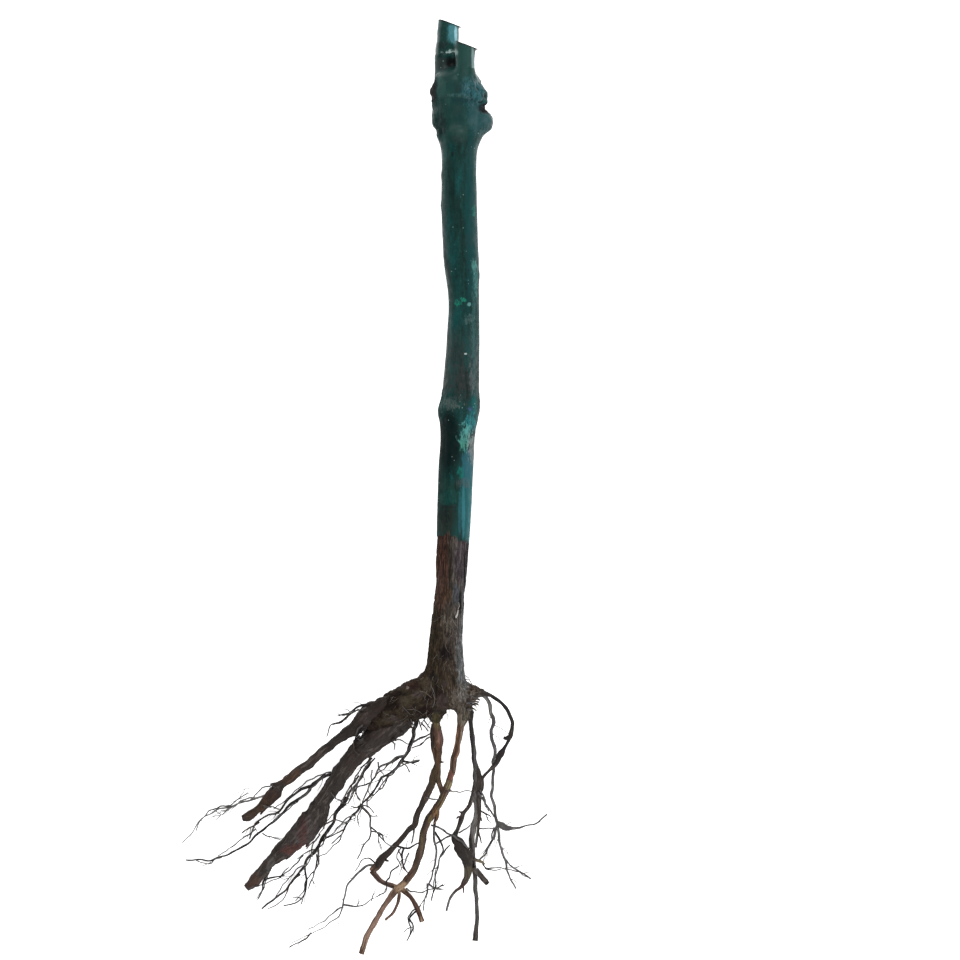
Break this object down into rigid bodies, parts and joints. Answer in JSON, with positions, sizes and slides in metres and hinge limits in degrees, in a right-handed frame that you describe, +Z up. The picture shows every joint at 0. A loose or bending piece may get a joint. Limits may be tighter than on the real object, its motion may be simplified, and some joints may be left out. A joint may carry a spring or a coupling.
{
  "type": "bare-rooted grapevine",
  "caption": "Young grafted grapevine lifted from the ground: a waxed stem with a swollen graft union and two pruned shoots, lying with its fan of roots spread out",
  "frame": {"origin": "middle of the underside of the plant's bounding box, on the ground that it lies on", "axes": "+Y runs along the stem from the root tips to the shoots, +X to the right seen from above with the shoots away from the viewer, +Z up from the ground"},
  "size_m": [0.1838, 0.4684, 0.0286],
  "materials": {
    "waxed_bark": "dark green dipping wax over fibrous brown bark, bare below",
    "green_wax": "glossy dark green dipping wax over pruned wood",
    "dark_root": "matt, near black root bark with lengthwise strands",
    "brown_root": "matt reddish brown root bark",
    "fibre": "thin dry root fibres"
  },
  "bodies": {
    "root": {"stem": "waxed_bark", "shoot_back": "green_wax", "shoot_front": "green_wax", "root_far_left": "dark_root", "root_thick": "dark_root", "root_middle": "brown_root", "root_middle_hook": "brown_root", "root_brown": "brown_root", "root_right": "dark_root", "root_arch": "dark_root", "root_knotted": "dark_root", "fibres_far_left_tip": "fibre", "fibres_crown_left": "fibre", "fibres_between": "fibre", "fibres_under_thick": "fibre", "fibres_thick_tip": "fibre", "fibres_net_upper": "fibre", "fibres_net_lower": "fibre", "fibres_middle_tip": "fibre", "fibres_inner": "fibre", "fibres_brown_side": "fibre", "fibres_brown_low": "fibre", "fibres_right": "fibre", "fibres_cross": "fibre"}
  },
  "joints": []
}
